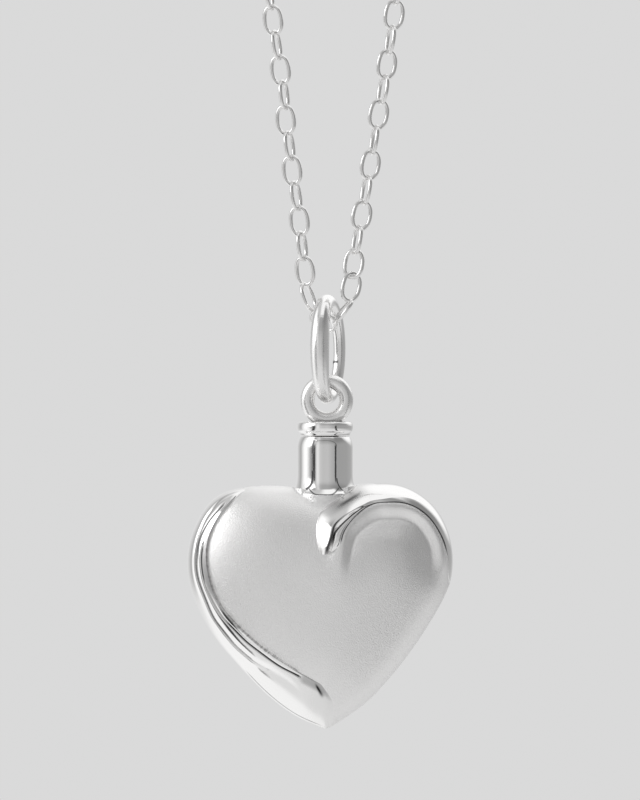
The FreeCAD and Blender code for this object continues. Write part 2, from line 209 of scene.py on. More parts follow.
# Right ribbon, from the hook at the cleft round the lobe to its end on the
# right side: crease beside the satin, thin inner line, crown line, outer edge.
RIGHT_RIBBON = [
    # crease x, y, inner x, y, crown x, y, outer x, y
    (326.5, 556.8, 326.0, 557.2, 325.4, 557.0, 324.2, 558.6),
    (333.5, 551.5, 329.0, 552.0, 326.2, 551.5, 320.9, 554.0),
    (339.5, 545.5, 331.0, 545.5, 327.8, 544.5, 317.8, 547.0),
    (342.2, 539.5, 332.8, 538.5, 330.2, 538.0, 316.2, 539.5),
    (343.4, 534.5, 334.6, 532.0, 332.0, 532.0, 315.7, 532.0),
    (345.3, 529.5, 337.4, 528.0, 333.2, 526.5, 316.0, 525.0),
    (348.5, 524.0, 341.2, 523.9, 335.8, 521.8, 317.8, 517.5),
    (352.3, 519.0, 346.4, 518.9, 340.0, 517.6, 321.0, 510.5),
    (357.4, 513.6, 352.6, 513.5, 345.5, 513.3, 327.0, 503.5),
    (363.6, 508.5, 360.2, 508.2, 352.5, 508.8, 335.0, 496.5),
    (370.5, 504.8, 368.4, 504.3, 361.0, 504.2, 344.0, 489.8),
    (378.3, 502.5, 377.0, 501.9, 370.0, 500.6, 355.0, 485.0),
    (388.7, 502.3, 388.3, 501.6, 382.0, 498.4, 369.0, 482.6),
    (399.2, 502.8, 399.2, 502.0, 394.5, 496.6, 385.0, 483.4),
    (409.7, 505.4, 410.0, 504.7, 406.5, 497.4, 401.0, 486.0),
    (420.1, 511.1, 420.7, 510.4, 418.5, 501.2, 416.0, 492.5),
    (430.6, 521.1, 431.2, 520.6, 430.8, 510.3, 431.0, 503.0),
    (437.9, 532.6, 438.6, 532.2, 440.4, 522.6, 442.5, 518.0),
    (442.1, 542.0, 442.9, 541.7, 446.4, 533.5, 448.0, 530.0),
    (444.7, 553.5, 445.5, 553.3, 450.0, 546.5, 451.5, 543.5),
    (446.0, 566.0, 446.7, 565.9, 451.3, 560.0, 452.6, 558.0),
    (447.0, 577.0, 447.6, 576.9, 450.5, 573.0, 451.8, 571.5),
    (448.4, 588.0, 448.7, 587.9, 449.5, 587.0, 450.2, 585.5),
]
_rr = np.array(RIGHT_RIBBON)
COVE = [(336.3, 583), (337.6, 571), (339.2, 559), (341.2, 547), (343.4, 535.5)] + [(r[0], r[1]) for r in RIGHT_RIBBON[5:]]
CREASE = eased(COVE, 170)
NECK_R = 2.1


def satin_relief(x, z):
    """Height on the plain front dome: the cove beside the right ribbon's crease, its valley and the lobe."""
    d, place = line_distance(x, z, CREASE)
    start, end = smooth_step(0.0, 0.22, place), 1 - smooth_step(0.84, 1.0, place)
    high = (0.30 * smooth_step(0.02, 0.24, place) + 0.10 * smooth_step(0.20, 0.36, place)) * (1 - smooth_step(0.84, 1.0, place))
    low = 0.27 * start * end * (0.72 + 0.28 * smooth_step(0.16, 0.40, place))
    wide = 0.80 + 0.40 * smooth_step(0.14, 0.42, place) - 0.18 * smooth_step(0.50, 0.66, place) + 0.27 * smooth_step(0.76, 1.0, place)
    t = np.clip(d / wide, 0, 1)
    cove = high + (-low - high) * (t * t * (2.6 - 1.6 * t))
    lobe = -low * np.exp(-np.clip(d - wide, 0, None) / (0.60 + 0.75 * smooth_step(0.16, 0.46, place))) * (1 - smooth_step(1.8, 3.3, d))
    inside = np.where(d < wide, cove, lobe)
    under = high * (1 - smooth_step(0.10, 0.36 + 0.75 * (1 - smooth_step(0.10, 0.26, place)), -d))
    return np.where(d >= 0, inside, under)


def front_depth(x, z, share):
    """Depth of the satin front: dome, the relief round the right lobe and the fillet to the neck."""
    base = FRONT * np.clip(1 - np.clip(share, 0, 1) ** POWER, 0, None) ** (1 / POWER)
    rim = smooth_step(1.0, 0.97, share)
    depth = base + satin_relief(x, z) * rim
    bulge = np.exp(-((x - 4.9) ** 2 + (z + 12.4) ** 2) / 2.4 ** 2)
    depth = depth + 0.13 * bulge + 0.26 * np.exp(-((x - 0.6) / 2.3) ** 2 - ((z + 12.6) / 3.2) ** 2)
    # lip round the neck's foot
    inside = np.clip(2.585 ** 2 - x * x, 0, None)
    lip = np.sqrt(inside) - 0.10 * smooth_step(-7.4, -8.4, z)
    k = 0.50
    mix = np.clip(0.5 + 0.5 * (lip - depth) / k, 0, 1)
    joined = lip * mix + depth * (1 - mix) + k * mix * (1 - mix)
    near = smooth_step(-9.8, -8.6, z) * (1 - smooth_step(2.45, 3.1, np.abs(x)))
    depth = depth + (joined - depth) * near
    hidden = smooth_step(-7.13, -7.03, z) * (1 - smooth_step(2.2, 2.5, np.abs(x)))
    return depth + (np.minimum(depth, 1.9) - depth) * hidden


def square_disc(count):
    """Even square grid drawn out to a round disc: radius and angle."""
    a = np.linspace(-1, 1, count)
    u, v = np.meshgrid(a, a, indexing="xy")
    r = np.maximum(np.abs(u), np.abs(v))
    safe = np.where(r == 0, 1, r)
    wide = np.abs(u) >= np.abs(v)
    angle = np.where(wide, np.where(u >= 0, 0, math.pi) + (math.pi / 4) * v / np.where(u == 0, 1, u),
                     np.where(v >= 0, math.pi / 2, -math.pi / 2) - (math.pi / 4) * u / np.where(v == 0, 1, v))
    return r * (safe > 0), angle


def dome_steps(depth):
    """Share of the outline against even steps along the dome's curve."""
    lat = np.linspace(math.pi / 2, 0, 4000)
    share, high = np.cos(lat) ** (2 / POWER), np.sin(lat) ** (2 / POWER)
    s = along(np.stack([share * 9.3, high * depth], -1))
    return s / s[-1], share


def heart_half(count, depth, front):
    q, angle = square_disc(count)
    steps, shares = dome_steps(depth)
    share = np.interp(q, steps, shares)
    r = reach(angle, share)
    x, z = HEART[0] + share * r * np.cos(angle), HEART[1] + share * r * np.sin(angle)
    if front:
        y = -front_depth(x, z, share)
        y = np.where(q >= 1 - 1e-9, 0.02, y)
    else:
        y = depth * np.clip(1 - share ** POWER, 0, None) ** (1 / POWER)
        y = np.where(q >= 1 - 1e-9, -0.02, y)
    verts = np.stack([x, y, z + EYE], -1).reshape(-1, 3)
    faces = grid_faces(count, count)
    if not front:
        faces = faces[:, ::-1]
    return verts, faces, share.reshape(-1)


# ------------------------------------------------------------------ materials
def node(tree, kind, **inputs):
    made = tree.nodes.new(kind)
    for key, value in inputs.items():
        name = key.replace("_", " ")
        if name in made.inputs:
            made.inputs[name].default_value = value
        else:
            setattr(made, key, value)
    return made


def math_node(tree, operation, a, b=None, clamp=False):
    made = tree.nodes.new("ShaderNodeMath")
    made.operation = operation
    made.use_clamp = clamp
    for i, value in enumerate((a, b)):
        if value is None:
            continue
        if isinstance(value, (int, float)):
            made.inputs[i].default_value = value
        else:
            tree.links.new(value, made.inputs[i])
    return made.outputs[0]


def silver(name, rough, satin_rough=None, grain=0.0, scratch=0.0, tone=(0.955, 0.95, 0.945), dark=(0.03, 0.03, 0.032)):
    """Silver with fine wear; the satin attribute blends in a matt finish, and a second attribute blends in dark seams,
    painted shade in crevices and painted dark reflections.
    """
    material = bpy.data.materials.new(name)
    material.use_nodes = True
    tree = material.node_tree
    tree.nodes.clear()
    out = tree.nodes.new("ShaderNodeOutputMaterial")
    shader = tree.nodes.new("ShaderNodeBsdfPrincipled")
    tree.links.new(shader.outputs[0], out.inputs[0])
    shader.inputs["Metallic"].default_value = 1.0
    place = tree.nodes.new("ShaderNodeTexCoord").outputs["Object"]

    fine = node(tree, "ShaderNodeTexNoise", Scale=12000.0, Detail=2.0, Roughness=0.6)
    broad = node(tree, "ShaderNodeTexNoise", Scale=420.0, Detail=2.0, Roughness=0.5)
    cloud = node(tree, "ShaderNodeTexNoise", Scale=130.0, Detail=3.0, Roughness=0.55)
    stretch = tree.nodes.new("ShaderNodeMapping")
    stretch.inputs["Rotation"].default_value = (0.3, 0.5, 0.9)
    stretch.inputs["Scale"].default_value = (700.0, 9000.0, 9000.0)
    lines = node(tree, "ShaderNodeTexNoise", Scale=1.0, Detail=2.0, Roughness=0.55)
    tree.links.new(place, stretch.inputs["Vector"])
    tree.links.new(stretch.outputs[0], lines.inputs["Vector"])
    for made in (fine, broad, cloud):
        tree.links.new(place, made.inputs["Vector"])

    satin = tree.nodes.new("ShaderNodeAttribute")
    satin.attribute_name = "satin"
    seam_and_painted_shade = tree.nodes.new("ShaderNodeAttribute")
    seam_and_painted_shade.attribute_name = "seam_and_painted_shade"

    # colour: silver, a little uneven, dark at seams and where shade and dark reflections are painted
    uneven = tree.nodes.new("ShaderNodeMapRange")
    uneven.inputs["To Min"].default_value = 0.955
    uneven.inputs["To Max"].default_value = 1.0
    tree.links.new(cloud.outputs[0], uneven.inputs["Value"])
    base = tree.nodes.new("ShaderNodeMix")
    base.data_type = "RGBA"
    base.blend_type = "MULTIPLY"
    base.inputs[0].default_value = 1.0
    base.inputs[6].default_value = (*tone, 1)
    tree.links.new(uneven.outputs[0], base.inputs[7])
    seam_and_shade_mix = tree.nodes.new("ShaderNodeMix")
    seam_and_shade_mix.data_type = "RGBA"
    tree.links.new(seam_and_painted_shade.outputs["Fac"], seam_and_shade_mix.inputs[0])
    tree.links.new(base.outputs[2], seam_and_shade_mix.inputs[6])
    seam_and_shade_mix.inputs[7].default_value = (*dark, 1)
    tree.links.new(seam_and_shade_mix.outputs[2], shader.inputs["Base Color"])

    # roughness
    polish = math_node(tree, "ADD", rough, math_node(tree, "MULTIPLY", math_node(tree, "SUBTRACT", broad.outputs[0], 0.5), 0.05))
    if satin_rough:
        matt = math_node(tree, "ADD", satin_rough,
                         math_node(tree, "MULTIPLY", math_node(tree, "SUBTRACT", fine.outputs[0], 0.5), 0.10))
        gap = math_node(tree, "SUBTRACT", matt, polish)
        polish = math_node(tree, "ADD", polish, math_node(tree, "MULTIPLY", gap, satin.outputs["Fac"]))
    polish = math_node(tree, "ADD", polish, math_node(tree, "MULTIPLY", seam_and_painted_shade.outputs["Fac"], 0.35), True)
    tree.links.new(polish, shader.inputs["Roughness"])

    # fine relief
    height = math_node(tree, "MULTIPLY", lines.outputs[0], scratch)
    if grain:
        grains = math_node(tree, "MULTIPLY", fine.outputs[0], grain)
        if satin_rough:
            grains = math_node(tree, "MULTIPLY", grains, satin.outputs["Fac"])
        height = math_node(tree, "ADD", height, grains)
    bump = tree.nodes.new("ShaderNodeBump")
    bump.inputs["Strength"].default_value = 0.45
    bump.inputs["Distance"].default_value = 0.00003
    tree.links.new(height, bump.inputs["Height"])
    tree.links.new(bump.outputs[0], shader.inputs["Normal"])
    return material


SILVER_HEART = silver("silver_heart", 0.10, satin_rough=0.35, grain=2.5, scratch=0.10)
SILVER_RIBBON = silver("silver_ribbon", 0.075, satin_rough=0.35, grain=0.6, scratch=0.12)
SILVER_NECK = silver("silver_neck", 0.06, scratch=0.15)
SILVER_CAP = silver("silver_cap", 0.09, satin_rough=0.34, grain=0.5, scratch=0.2)
SILVER_BAIL = silver("silver_bail", 0.13, satin_rough=0.34, grain=0.4, scratch=0.35)
SILVER_CHAIN = silver("silver_chain", 0.09, scratch=0.3, tone=(0.86, 0.855, 0.85))
SILVER_CLASP = silver("silver_clasp", 0.12, scratch=0.3)

# ------------------------------------------------------------------ heart halves
verts, faces, share = heart_half(289, FRONT, True)
rel_x, rel_z = verts[:, 0], verts[:, 2] - EYE
heart_front = mesh_piece("heart_front", verts, faces, SILVER_HEART, "urn", {
    "satin": np.ones(len(verts)), "seam_and_painted_shade": np.zeros(len(verts))})
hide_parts("heart_urn")
verts, faces, share = heart_half(131, BACK, False)
heart_back = mesh_piece("heart_back", verts, faces, SILVER_HEART, "urn", {
    "satin": np.ones(len(verts)), "seam_and_painted_shade": np.zeros(len(verts))})


# ------------------------------------------------------------------ ribbons
def ribbon(name, angles, lats, columns, relief):
    """Strip on the dome through lines given as angle and latitude at each row, with relief along the depth."""
    v = []
    for k, count in enumerate(columns):
        u = np.linspace(0, 1, count, endpoint=k == len(columns) - 1)
        v.append(k + u)
    v = np.concatenate(v)
    k = np.minimum(v.astype(int), len(columns) - 1)
    u = v - k
    angle = angles[:, k] * (1 - u) + angles[:, k + 1] * u
    lat = lats[:, k] * (1 - u) + lats[:, k + 1] * u
    lat = np.where(np.abs(lat) < 1e-6, 1e-6, lat)
    base, normal = dome_point(angle, lat)
    step = np.linalg.norm(np.diff(base[..., (0, 2)], axis=1), axis=-1)
    s = np.concatenate([np.zeros((len(base), 1)), np.cumsum(step, axis=1)], axis=1)
    lift, rise, satin, seam_and_painted_shade = relief(v, s, base, lat)
    verts = base + normal * rise[..., None]
    verts[..., 1] -= lift * smooth_step(-0.02, 0.10, lat)
    verts[..., 2] += EYE
    piece = mesh_piece(name, verts.reshape(-1, 3), grid_faces(*lift.shape), SILVER_RIBBON, "urn", {
        "satin": np.clip(np.broadcast_to(satin, lift.shape), 0, 1).reshape(-1),
        "seam_and_painted_shade": np.clip(np.broadcast_to(seam_and_painted_shade, lift.shape), 0, 1).reshape(-1)})
    return piece


def hill(x, centre, width, power=2):
    return np.exp(-np.abs((x - centre) / width) ** power)


def angle_table(points):
    """Drawn points as angle in degrees from 0 to 360 and latitude."""
    p = drawn(points)
    angle, share = to_polar(p[:, 0], p[:, 1])
    return np.degrees(angle) % 360, latitude(share)


# Left ribbon: the satin's edge, thin crease, inner and outer deep lines.
LEFT_SATIN = [(245, 490.5), (239, 495), (229.7, 505.2), (220.3, 517.3), (214.5, 528.6), (211.0, 538), (209.2, 547), (208.9, 555),
              (209.8, 566), (211.6, 576), (215.9, 590), (223.3, 605), (231.4, 615), (238.6, 622.7), (248.3, 631.7),
              (257.3, 639.6), (266.4, 646.8), (274.5, 652.5), (283.5, 658.6), (292.5, 664), (300.8, 669.2), (309.6, 673.9),
              (318.6, 678.6), (324.9, 683.0), (332.1, 690.1), (336.8, 696.6), (339.5, 705)]
LEFT_CREASE = [(241, 492.5), (233.0, 498.5), (224.0, 508.5), (215.5, 520.5), (210.6, 529), (208.4, 534.5), (205.4, 540.7), (203.3, 549), (202.6, 559.4),
               (203.3, 568.7), (205.0, 578), (210, 592), (215.9, 603.5), (223.1, 614.5), (230.3, 622.5), (237.5, 629.7), (246.5, 638.7), (255.5, 645.9),
               (269, 655.9), (282.6, 664.9), (291.6, 669.4), (299.7, 673.6), (308, 678.5), (315.5, 684), (322, 690), (328, 697), (333, 707)]
LEFT_INNER = [(236, 492.8), (228.5, 499.6), (225.5, 503.3), (220.3, 508.9), (213.8, 515.5), (208.2, 523), (204.0, 530.4), (200.8, 537.9), (198.9, 550), (198.5, 564), (199.9, 575.2),
              (203.1, 585.2), (208.6, 598.8), (217.0, 616.8), (223.6, 625.2), (238, 643), (255, 657.4), (274, 667.6), (290, 676), (304, 687), (316, 699), (327, 711)]
LEFT_OUTER = [(241.8, 490.6), (232.5, 493.0), (225, 497.2), (218.5, 502.4), (212.9, 509.7), (207.3, 517.3), (203.1, 526.7), (199.8, 536), (197.5, 550), (197, 564),
              (198.4, 575.2), (201.7, 585.5), (207.3, 599.5), (215.5, 617.6), (222.2, 626.5), (228.5, 634.4), (236.6, 644.1), (244.7, 651.4), (253.7, 658.6),
              (261.8, 663.0), (272.7, 669.5), (287, 678.5), (301, 690), (313, 702), (325, 714)]
LEFT_FROM, LEFT_TO = 126.8, 280.5
ROWS = 620
turn_deg = np.linspace(LEFT_FROM, LEFT_TO, ROWS)
_lines = []
for _points in (LEFT_SATIN, LEFT_CREASE, LEFT_INNER, LEFT_OUTER):
    _a, _l = angle_table(_points)
    _at = np.clip(turn_deg, _a[0], _a[-1])
    _lines.append(np.maximum(cubic(_a, _l, _at), 0.02))
_soft = np.exp(-(np.arange(-18, 19) / 9.0) ** 2)
_lines = [np.convolve(np.pad(_l, 18, mode="edge"), _soft / _soft.sum(), mode="valid") for _l in _lines]
for _k in range(1, 4):
    _lines[_k] = np.minimum(_lines[_k], _lines[_k - 1] - 0.012)
_wrap = -0.03 - 0.34 * smooth_step(LEFT_FROM, LEFT_FROM + 18, turn_deg) * (1 - 0.8 * smooth_step(262, 280, turn_deg))
_edge = 0 * _wrap
left_lats = np.stack(_lines + [np.minimum(_edge, _lines[3] - 0.01), _wrap], 1)
left_angles = np.repeat(np.radians(turn_deg)[:, None], 6, 1)


def rough_line(count, seed, coarse):
    """Smooth uneven strength along a line, from 0 to 1."""
    values = np.random.default_rng(seed).uniform(0, 1, count // coarse + 3)
    return cubic(np.arange(len(values)) * coarse, values, np.arange(count))


def left_relief(v, s, base, lat):
    a = turn_deg[:, None]
    at = [s[:, np.searchsorted(v, k)][:, None] for k in range(5)]
    crease, inner, outer, rim = at[1], at[2], at[3], at[4]
    start = smooth_step(LEFT_FROM, LEFT_FROM + 10, a)
    tail = 1 - smooth_step(262, 280, a)
    lift = 0.22 * start * tail
    keep_crease = smooth_step(156.5, 161, a) * (1 - smooth_step(255.5, 258.5, a))
    crease_painted_shade = keep_crease * (1 - 0.8 * smooth_step(172, 178, a) * (1 - smooth_step(196, 201, a)))
    keep_inner = smooth_step(136, 139, a) * (1 - smooth_step(160, 168, a))
    keep_outer = smooth_step(128, 133, a) * (1 - smooth_step(222, 238, a))
    outer_groove_painted_shade = keep_outer * (0.30 + 0.45 * smooth_step(146, 162, a)) * (1 - 0.75 * smooth_step(203, 216, a))
    # edge by the satin, bands between the lines, and the lines themselves
    lift = lift * (1 - 0.9 * (1 - smooth_step(0, 1, np.clip(s / 0.16, 0, 1))))
    band_mid = (crease + outer) / 2
    lift = lift + 0.07 * keep_outer * hill(s, band_mid, np.maximum(0.45 * (outer - crease), 0.05))
    lift = lift - (0.06 + 0.04 * smooth_step(172, 186, a)) * keep_crease * hill(s, crease, 0.075) * start
    lift = lift - 0.05 * keep_inner * hill(s, inner, 0.06)
    lift = lift - (0.06 + 0.05 * smooth_step(150, 170, a)) * keep_outer * hill(s, outer, 0.09)
    lift = lift + 0.13 * smooth_step(134, 150, a) * (1 - smooth_step(205, 235, a)) * hill(s, outer + 0.52 * (rim - outer), np.maximum(0.42 * (rim - outer), 0.05))
    smear = smooth_step(225, 236, a) * (1 - smooth_step(250, 262, a))
    lift = lift - 0.10 * smear * hill(s, outer, 0.34)
    scoop = smooth_step(251, 258, a) * (1 - smooth_step(268, 279, a))
    lift = lift - 0.16 * scoop * (1 - smooth_step(0.0, 0.95, s))
    # painted shade in the crease, in the inner and outer grooves and in the band beside the satin's edge
    seam_and_painted_shade = 0.95 * crease_painted_shade * hill(s, crease, 0.056, 4)
    seam_and_painted_shade = seam_and_painted_shade + 0.50 * smooth_step(130, 142, a) * (1 - smooth_step(176, 192, a)) * (1 - smooth_step(crease - 0.10, crease - 0.02, s)) * smooth_step(0.02, 0.12, s)
    seam_and_painted_shade = seam_and_painted_shade + 0.90 * keep_inner * hill(s, inner, 0.058, 2)
    seam_and_painted_shade = seam_and_painted_shade + 0.95 * outer_groove_painted_shade * hill(s, outer, 0.068, 3)
    # uneven dark streak along the ribbon's edge by the satin
    rough = np.clip(1.35 * rough_line(ROWS, 11, 3)[:, None] - 0.15, 0, 1)
    uneven_edge_dark = smooth_step(155, 160, a) * (1 - smooth_step(252, 262, a)) * (0.18 + 0.30 * smooth_step(188, 200, a) * (1 - smooth_step(226, 244, a)))
    seam_and_painted_shade = seam_and_painted_shade + uneven_edge_dark * rough * hill(s, 0.05, 0.09 + 0.05 * rough, 3)
    edge_line = smooth_step(226, 232, a) * (1 - smooth_step(266, 272, a))
    seam_and_painted_shade = seam_and_painted_shade + 0.6 * edge_line * hill(s, rim - 0.20, 0.035, 4)
    # grey tail and its dark mark: painted shade and dark reflection on the tail's hollow facet
    px = (base[..., 0] / UNIT + 325.0, 400.0 - base[..., 2] / UNIT)
    along_mark = ((px[0] - 319.3) * 0.49 + (px[1] - 688.0) * 0.872) / 6.6
    across_mark = ((px[0] - 319.3) * 0.872 - (px[1] - 688.0) * 0.49) / (1.35 + 0.4 * along_mark)
    seam_and_painted_shade = seam_and_painted_shade + 0.85 * np.exp(-along_mark ** 4 - across_mark ** 2)
    grey = smooth_step(256.5, 260, a) * (1 - smooth_step(270, 280, a))
    seam_and_painted_shade = seam_and_painted_shade + 0.30 * grey * (1 - smooth_step(0.50, 0.90, s))
    satin = 0.42 * smooth_step(130, 140, a) * (1 - smooth_step(176, 192, a)) * (1 - smooth_step(crease - 0.04, crease + 0.05, s)) + 0.30 * smooth_step(225, 248, a) + 0.7 * smooth_step(259, 271, a) + 0.35 * grey * (1 - smooth_step(0.5, 1.0, s)) + 0 * s
    rise = 0.03 * (1 - smooth_step(0.0, 1.0, np.clip(v - 4, 0, 1))) - 0.10 * smooth_step(0.55, 1.0, v - 4) - 0.05 * (s < 1e-6) + 0 * s
    rise = rise * np.ones_like(lift) - 0.03 * (1 - start) - 0.05 * smooth_step(266, 278, a)
    return lift, rise, satin, seam_and_painted_shade


left_ribbon = ribbon("left_ribbon", left_angles, left_lats, [34, 34, 12, 46, 20], left_relief)

_points = [drawn(_rr[:, 2 * k:2 * k + 2]) for k in range(4)]
_mid = (_points[0] + _points[3]) / 2
_rt = along(_mid) / along(_mid)[-1]
RIGHT_ROWS = 560
row_at = np.linspace(0, 1, RIGHT_ROWS)
_angles, _lats = [], []
for _k, _p in enumerate(_points):
    _a, _f = to_polar(_p[:, 0], _p[:, 1])
    _l = latitude(np.minimum(_f, 1.0))
    if _k == 3:
        _l = np.where(np.arange(len(_l)) >= 12, 0.0, _l)
    _angles.append(cubic(_rt, _a, row_at))
    _lats.append(np.maximum(cubic(_rt, _l, row_at), 0.0))
    if _k == 3:
        _lats[-1] = np.where(row_at > _rt[12], 0.0, _lats[-1])
for _k in range(1, 4):
    _lats[_k] = np.where(row_at > _rt[12], np.minimum(_lats[_k], _lats[_k - 1] - 0.006), _lats[_k])
_rim = smooth_step(_rt[11] - 0.02, _rt[12] + 0.03, row_at)
_angles.append(_angles[3] + (_angles[3] - _angles[2]) * 0.03 * (1 - _rim))
_lats.append(_lats[3] - 0.015 * (1 - _rim) - _rim * (0.32 - 0.26 * smooth_step(0.86, 1.0, row_at)))


def right_relief(v, s, base, lat):
    t = row_at[:, None]
    at = [s[:, np.searchsorted(v, k)][:, None] for k in range(4)]
    inner, crown, outer = np.maximum(at[1], 1e-3), at[2], at[3]
    start = smooth_step(0.0, 0.055, t)
    end = 1 - smooth_step(0.80, 1.0, t)
    hook = 1 - smooth_step(_rt[8], _rt[11], t)
    # heights over the dome at the crease, inner line and crown
    h_crease = 0.40 * smooth_step(0.0, 0.10, t) * (1 - smooth_step(0.76, 1.0, t)) + 0.0
    h_crown = (0.52 + 0.30 * hook) * start * end
    h_inner = h_crease + (h_crown - h_crease) * (0.30 + 0.0 * t)
    u1 = np.clip(s / inner, 0, 1)
    u2 = np.clip((s - inner) / np.maximum(crown - inner, 1e-3), 0, 1)
    u3 = np.clip((s - crown) / np.maximum(outer - crown, 1e-3), 0, 1)
    roll = 0.13 * hook * start * 4 * u1 * (1 - u1)
    first = h_crease + (h_inner - h_crease) * u1 + roll
    second = h_inner + (h_crown - h_inner) * smooth_step(0, 1, u2)
    side_hook = np.clip(1 - u3 ** 1.35, 0, 1) ** 0.8 * h_crown
    side_lobe = h_crown * (1 - u3 * u3)
    third = hook * side_hook + (1 - hook) * side_lobe
    lift = np.where(s < inner, first, np.where(s < crown, second, third))
    plain = np.where(s < crown, h_crease + (h_crown - h_crease) * s / crown, side_lobe)
    lift = hook * lift + (1 - hook) * plain
    lift = lift - 0.12 * (1 - smooth_step(0, 0.08, s)) - 0.06 * hook * start * hill(s, inner, 0.05)
    # painted shade along the crease and the thin inner line, and a painted dark reflection along the hook's crown
    hook_crease_painted_shade = smooth_step(0.035, 0.09, t) * (1 - smooth_step(0.80, 0.90, t))
    seam_and_painted_shade = 0.95 * hook_crease_painted_shade * (1 - smooth_step(0.10 + 0.02 * (1 - hook), 0.155 + 0.03 * (1 - hook), s))
    fine = smooth_step(0.045, 0.10, t) * (1 - smooth_step(_rt[9], _rt[11], t))
    seam_and_painted_shade = seam_and_painted_shade + 0.9 * fine * hill(s, inner, 0.045, 4)
    bold = smooth_step(0.0, 0.04, t) * (1 - smooth_step(_rt[6], _rt[9], t))
    seam_and_painted_shade = seam_and_painted_shade + 0.95 * bold * hill(s, crown, 0.03 + 0.13 * (1 - smooth_step(0.05, 0.24, t)), 3)
    # painted dark reflection: a soft lens and streak between the hook's shoulder and the neck
    px = (base[..., 0] / UNIT + 325.0, 400.0 - base[..., 2] / UNIT)
    along_lens = ((px[0] - 346.0) * 0.857 - (px[1] - 499.5) * 0.515) / 19.5
    across_lens = ((px[0] - 346.0) * 0.515 + (px[1] - 499.5) * 0.857) / 6.0
    lens = np.exp(-along_lens ** 4 - across_lens ** 4)
    streak = np.exp(-((along_lens - 0.1) / 0.6) ** 4 - ((across_lens - 0.25) / 0.28) ** 2)
    seam_and_painted_shade = seam_and_painted_shade + 0.42 * lens + 0.45 * streak
    satin = (1 - smooth_step(0.0, 0.03, t)) + smooth_step(0.93, 1.0, t) + 0 * s
    down = np.clip(v - 3, 0, 1)
    rise = 0.03 - (0.03 + 0.10) * smooth_step(0.5, 1.0, down) * np.ones_like(lift)
    rise = rise - 0.04 * (1 - smooth_step(_rt[11], _rt[12], t)) * down
    return lift, rise, satin, seam_and_painted_shade


right_ribbon = ribbon("right_ribbon", np.stack(_angles, 1), np.stack(_lats, 1), [22, 20, 50, 20], right_relief)


# ------------------------------------------------------------------ turned pieces
def turned(profile, steps, level):
    """Closed turned skin from a profile of radius and height, first and last point on the axis."""
    p = np.asarray(profile, float)
    a = np.linspace(0, 2 * math.pi, steps, endpoint=False)
    rim = p[1:-1]
    ring = np.stack([rim[:, :1] * np.sin(a), -rim[:, :1] * np.cos(a), np.repeat(rim[:, 1:2] + level, steps, 1)], -1)
    verts = ring.reshape(-1, 3)
    faces = grid_faces(len(rim), steps, wrap_cols=True).tolist()
    first, last = len(verts), len(verts) + 1
    verts = np.vstack([verts, [[0, 0, p[0, 1] + level], [0, 0, p[-1, 1] + level]]])
    low = (len(rim) - 1) * steps
    for i in range(steps):
        j = (i + 1) % steps
        faces.append((first, j, i))
        faces.append((last, low + i, low + j))
    return verts, faces


def rounded(profile, radius, steps=5):
    """Profile with each inner corner rounded, up to the given radius."""
    p = [np.array(q, float) for q in profile]
    out = [p[0]]
    for before, here, after in zip(p, p[1:], p[2:]):
        a, b = before - here, after - here
        la, lb = np.linalg.norm(a), np.linalg.norm(b)
        cut = min(radius, la * 0.45, lb * 0.45)
        start, end = here + a / la * cut, here + b / lb * cut
        for k in range(steps + 1):
            u = k / steps
            out.append((1 - u) ** 2 * start + 2 * u * (1 - u) * here + u * u * end)
    out.append(p[-1])
    return out


def ring_tube(centres, frames_a, frames_b, radius_a, radius_b, around, closed=True):
    """Tube of oval section along centres, with its two section axes."""
    c = np.asarray(centres, float)
    w = np.linspace(0, 2 * math.pi, around, endpoint=False)
    ra, rb = np.asarray(radius_a, float), np.asarray(radius_b, float)
    verts = (c[:, None, :] + frames_a[:, None, :] * (ra[:, None] * np.cos(w))[..., None]
             + frames_b[:, None, :] * (rb[:, None] * np.sin(w))[..., None])
    return verts.reshape(-1, 3), grid_faces(len(c), around, wrap_rows=closed, wrap_cols=True)


def joined(parts):
    verts, faces, base = [], [], 0
    for v, f in parts:
        verts.append(v)
        faces += [tuple(int(i) + base for i in face) for face in (f.tolist() if isinstance(f, np.ndarray) else f)]
        base += len(v)
    return np.vstack(verts), faces


# neck with its threaded mouth
neck_profile = [(0.0, -8.55), (1.25, -8.55)]
turns = 60
for i in range(turns + 1):
    z = -8.3 + (5.45) * i / turns
    neck_profile.append((1.25 + 0.03 * math.cos(i * 2 * math.pi / 5), z))
neck_profile += [(1.30, -2.78), (1.40, -2.75), (1.84, -2.75)]
neck_wall = np.array([(1.90, -2.79), (1.97, -2.95), (2.04, -3.16), (2.085, -3.40), (2.10, -3.60), (2.10, -4.0), (2.10, -4.8),
                      (2.10, -5.6), (2.105, -5.8), (2.13, -6.08), (2.17, -6.32), (2.24, -6.56), (2.33, -6.76), (2.43, -6.91),
                      (2.51, -7.00), (2.56, -7.07), (2.578, -7.13), (2.572, -7.19), (2.52, -7.25)])
_t = along(neck_wall)
_even = np.linspace(0, _t[-1], 100)
neck_profile += list(zip(cubic(_t, neck_wall[:, 0], _even), cubic(_t, neck_wall[:, 1], _even)))
neck_profile += [(2.36, -7.50), (2.05, -7.95), (1.5, -8.4), (0.0, -8.6)]
verts, faces = turned(neck_profile, 400, EYE)
